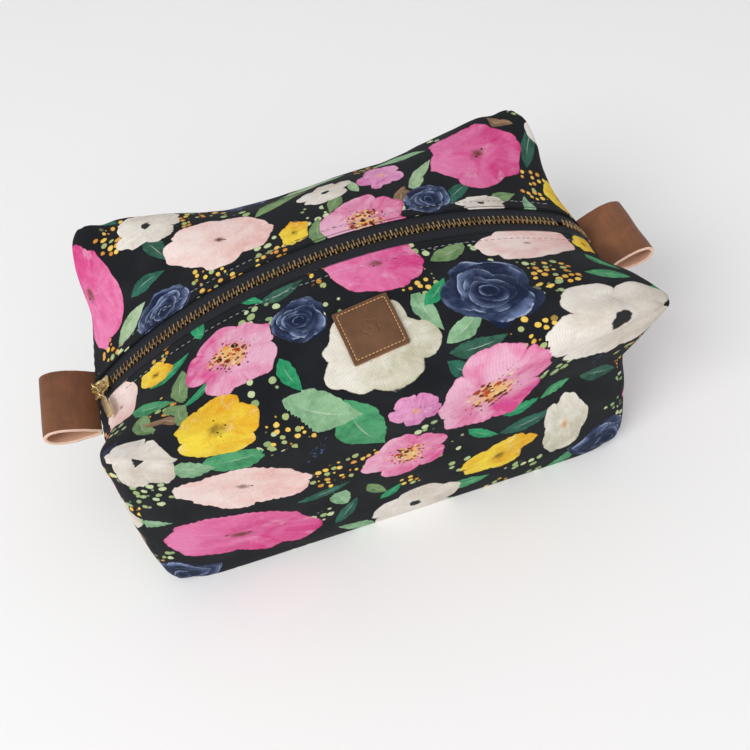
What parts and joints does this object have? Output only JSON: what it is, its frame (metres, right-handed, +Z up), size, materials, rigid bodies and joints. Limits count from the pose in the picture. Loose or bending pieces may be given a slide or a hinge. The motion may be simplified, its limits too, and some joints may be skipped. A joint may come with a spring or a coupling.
{
  "type": "makeup bag",
  "caption": "Boxed zip pouch for makeup: soft quilted floral canvas body, curved metal zip along the top, a leather loop at each end and a small leather label.",
  "frame": {"origin": "under the middle of the flat base", "axes": "+X along the zip towards its open end, -Y front where the label is, +Z up"},
  "size_m": [0.3087, 0.1551, 0.1243],
  "materials": {
    "printed_canvas": "matt printed cotton canvas, floral print on a near-black ground",
    "filling": "soft fleece filling",
    "lining": "plain woven cotton",
    "zip_tape": "black woven polyester tape",
    "zip_teeth": "antique brass",
    "zip_slider": "pale gold plate",
    "seam_thread": "pale grey spun polyester thread",
    "tan_thread": "waxed thread",
    "tab_leather": "smooth brown leather with raw cut edges",
    "label_leather": "smooth dark brown leather"
  },
  "bodies": {
    "bag": {"outer_front_panel": "printed_canvas", "outer_back_panel": "printed_canvas", "interlining_front": "filling", "interlining_back": "filling", "lining_front_panel": "lining", "lining_back_panel": "lining", "zip_tape_front": "zip_tape", "zip_tape_back": "zip_tape", "zip_teeth_front": "zip_teeth", "zip_teeth_back": "zip_teeth", "topstitch_front": "seam_thread", "topstitch_back": "seam_thread", "tab_left": "tab_leather", "tab_right": "tab_leather", "label_patch": "label_leather", "label_stitching": "tan_thread"},
    "slider": {"slider_body": "zip_slider", "slider_bridge": "zip_slider"},
    "link": {"pull_link": "zip_slider"},
    "bar": {"pull_bar": "zip_slider"}
  },
  "joints": [
    {"name": "slider_travel", "type": "hinge", "parent": "bag", "child": "slider", "pos_m": [0.01, 0, -0.093], "axis": [0, 1, 0], "range_deg": [0, 63.5], "deforming": ["zip_teeth_front", "zip_teeth_back"]},
    {"name": "link_swing", "type": "hinge", "parent": "slider", "child": "link", "pos_m": [-0.12603, 0, 0.08048], "axis": [0.7189, 0.4067, 0.5637], "range_deg": [-140, 0]},
    {"name": "bar_swing", "type": "hinge", "parent": "link", "child": "bar", "pos_m": [-0.12304, -0.00728, 0.08193], "axis": [0.7189, 0.4067, 0.5637], "range_deg": [-50, 0]}
  ]
}
